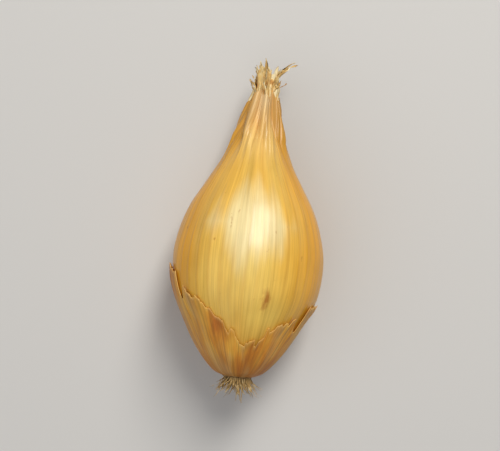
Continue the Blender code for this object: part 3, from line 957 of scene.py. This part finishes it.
# %% Root materials
def corky_material(name, dark, middle, pale, size_mm):
    """Matt, crumbly plant tissue: colour and bump from one noise, size_mm across."""
    material, tree, shader = new_material(name)
    place = add(tree, "TexCoord").outputs["Object"]
    grain = add(tree, "TexNoise", {"Vector": place, "Scale": 1 / (size_mm * MM), "Detail": 4.0})
    colour = add(tree, "ValToRGB", {"Fac": grain}, ((0.32, dark), (0.5, middle), (0.68, pale)))
    bump = add(tree, "Bump", {"Strength": 0.8, "Distance": 0.08 * MM, "Height": grain})
    feed(tree, shader, {"Base Color": colour, "Roughness": 0.85, "Normal": bump})
    return material


root_look = corky_material("dried_onion_root", "#8A6C3E", "#BC9A60", "#E0C894", 0.9)
plate_look = corky_material("corky_root_plate", "#5E4222", "#8A673A", "#AE8E5A", 0.5)
tell(root_look)
tell(plate_look)

# %% One root
PLATE_RADIUS, PLATE_OUT = SOCKET_RADIUS - 0.3 * MM, 0.55 * MM
ROOT_RIM_GAP, ROOT_SUNK = 0.25 * MM, 0.1 * MM
ROOTS = 120
ROOT_STEPS = 9
WIRY_SHARE = 0.45
STEP_WIDTH, TIP_WIDTH = 0.93, 0.45
GOLDEN_ANGLE = math.pi * (3 - math.sqrt(5))


def root_thread(rng, index):
    """One dried root: a face that is extruded, led aside and narrowed step by step.

    Each root stands a golden angle round from the one before it and a little further out, as
    seeds do in a sunflower, so that they fill the plate evenly.
    """
    share = math.sqrt((index + 0.5) / ROOTS)
    angle = index * GOLDEN_ANGLE
    if rng.random() < WIRY_SHARE:
        length, thickness, kink = rng.uniform(1.8, 4.0) * MM, rng.uniform(0.05, 0.09) * MM, 0.4
    else:
        length, thickness, kink = rng.uniform(0.9, 3.0) * MM, rng.uniform(0.1, 0.17) * MM, 0.22
    lean = 0.15 + 0.95 * share + rng.uniform(-0.2, 0.2)
    curl = rng.uniform(-1.5, 1.5)
    shape = bmesh.new()
    bmesh.ops.create_circle(shape, cap_ends=True, segments=5, radius=thickness)
    spot = Vector((math.cos(angle), math.sin(angle), 0)) * (PLATE_RADIUS - ROOT_RIM_GAP) * share
    spot.z = -ROOT_SUNK
    bmesh.ops.translate(shape, verts=shape.verts, vec=spot)
    face = shape.faces[:][0]
    for step in range(ROOT_STEPS):
        tilt = lean * (0.4 + 0.9 * step / ROOT_STEPS) + rng.uniform(-kink, kink)
        heading = angle + curl * step / ROOT_STEPS + rng.uniform(-kink, kink)
        aside = math.sin(tilt)
        way = Vector((aside * math.cos(heading), aside * math.sin(heading), -math.cos(tilt)))
        made = bmesh.ops.extrude_discrete_faces(shape, faces=[face])
        face = made["faces"][0]
        middle = face.calc_center_median()
        narrow = STEP_WIDTH if step < ROOT_STEPS - 1 else TIP_WIDTH
        about = Matrix.Translation(-middle)
        bmesh.ops.scale(shape, verts=face.verts, vec=(narrow,) * 3, space=about)
        bmesh.ops.translate(shape, verts=face.verts, vec=way * length / ROOT_STEPS)
    return shape


# %% All the roots
def root_threads():
    """All the roots in one mesh, laid down with the bulb."""
    rng = random.Random(7)
    whole = poured_together([root_thread(rng, index) for index in range(ROOTS)])
    bmesh.ops.recalc_face_normals(whole, faces=whole.faces)
    bmesh.ops.transform(whole, matrix=PLACE, verts=whole.verts)
    return whole


make_piece(root_threads(), "root_threads", root_look, "root_tuft", "dried_root")

# %% [markdown]
# ## The root plate
#
# A low dome, spun like the bulb, then roughened by noise.

# %% Root plate
PLATE_RINGS, PLATE_COLUMNS = 16, 96
PLATE_GAP = 0.1 * MM
# The size and the height of the crumbs and the lumps
CRUMBS, LUMPS = (0.5 * MM, 0.12 * MM), (1.4 * MM, 0.15 * MM)


def root_plate():
    """The dome, with a flat back that stays just clear of the hollow's floor."""
    top = SOCKET_DEPTH - PLATE_GAP
    turns = [math.pi / 2 * i / PLATE_RINGS for i in range(PLATE_RINGS + 1)]
    dome = [(PLATE_RADIUS * math.cos(t), -PLATE_OUT * math.sin(t)) for t in turns]
    inside = [(0, top), (PLATE_RADIUS * 0.5, top), (PLATE_RADIUS, top)]
    shape = spun(inside + dome, PLATE_COLUMNS, "root_plate")
    for vertex in shape.verts:
        rough = sum(noise.noise(vertex.co / size) * height for size, height in (CRUMBS, LUMPS))
        vertex.co += vertex.normal * rough
    bmesh.ops.transform(shape, matrix=PLACE, verts=shape.verts)
    return shape


make_piece(root_plate(), "root_plate", plate_look, "root_tuft", "dried_root")

# %% [markdown]
# ## The table, the light and the camera
#
# A plain pale table of painted wood, which is matt and takes a soft shadow. The light is that of
# a large window, high up and towards the neck, with a broader one above that stands for a bright
# ceiling. The camera looks straight down through a long lens, turned so that the neck leans a
# little to the right.

# %% Table
TABLE_HALF_WIDTH = 2.0


def table():
    material, tree, shader = new_material("painted_table_top")
    feed(tree, shader, {"Base Color": linear("#D0CDC9"), "Roughness": 0.8})
    shape = bmesh.new()
    bmesh.ops.create_grid(shape, x_segments=1, y_segments=1, size=TABLE_HALF_WIDTH)
    mesh = bpy.data.meshes.new("table_top")
    shape.to_mesh(mesh)
    shape.free()
    mesh.materials.append(material)
    top = bpy.data.objects.new("table_top", mesh)
    bpy.context.scene.collection.objects.link(top)
    top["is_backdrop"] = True


table()
print("table's width in m:", 2 * TABLE_HALF_WIDTH)

# %% Lights
WINDOW_WATTS, CEILING_WATTS, ROOM_STRENGTH = 1.75, 1.65, 0.22


def soft_light(name, place, width, height, power, colour):
    """A soft rectangular light, width by height metres, that faces the bulb."""
    data = bpy.data.lights.new(name, "AREA")
    data.shape = "RECTANGLE"
    data.size, data.size_y = width, height
    data.energy = power
    data.color = linear(colour)[:3]
    light = bpy.data.objects.new(name, data)
    light.location = place
    light.rotation_euler = (-Vector(place)).to_track_quat("-Z", "Y").to_euler()
    bpy.context.scene.collection.objects.link(light)


soft_light("window", (0.09, 0.28, 0.38), 0.14, 0.30, WINDOW_WATTS, "#FFFDF8")
soft_light("ceiling", (-0.22, -0.16, 0.55), 0.9, 0.9, CEILING_WATTS, "#F8FAFF")

bpy.context.scene.view_settings.view_transform = "Standard"
world = bpy.data.worlds.new("room")
world.use_nodes = True
background = world.node_tree.nodes["Background"].inputs
background["Color"].default_value = linear("#E9ECEE")
background["Strength"].default_value = ROOM_STRENGTH
bpy.context.scene.world = world
print("lights:", [light.name for light in bpy.data.lights])

# %% Camera
LENS, SENSOR = 85.0, 36.0
IMAGE_WIDTH = 500
# How long the solids are in the picture
BULB_PIXELS = 345
NECK_LEAN = math.radians(5)

low, high = cad_box
shown_width = (high.y - low.y) * IMAGE_WIDTH / BULB_PIXELS
distance = shown_width * LENS / SENSOR
camera_data = bpy.data.cameras.new("camera")
camera_data.lens = LENS
camera_data.sensor_width = SENSOR
camera = bpy.data.objects.new("camera", camera_data)
camera.location = (0, 0, (low.z + high.z) / 2 + distance)
camera.rotation_euler = (0, 0, NECK_LEAN)
bpy.context.scene.collection.objects.link(camera)
bpy.context.scene.camera = camera
print("camera height in mm:", round(camera.location.z / MM, 1))

# %% [markdown]
# ## Sizes
#
# Last, the box of the solids and the box of the finished pieces are written side by side. They
# have to agree, because the solids hold the real size.

# %% Write the sizes and finish
dressed_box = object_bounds()
print("box of the pieces in mm:", [in_mm(corner) for corner in dressed_box])
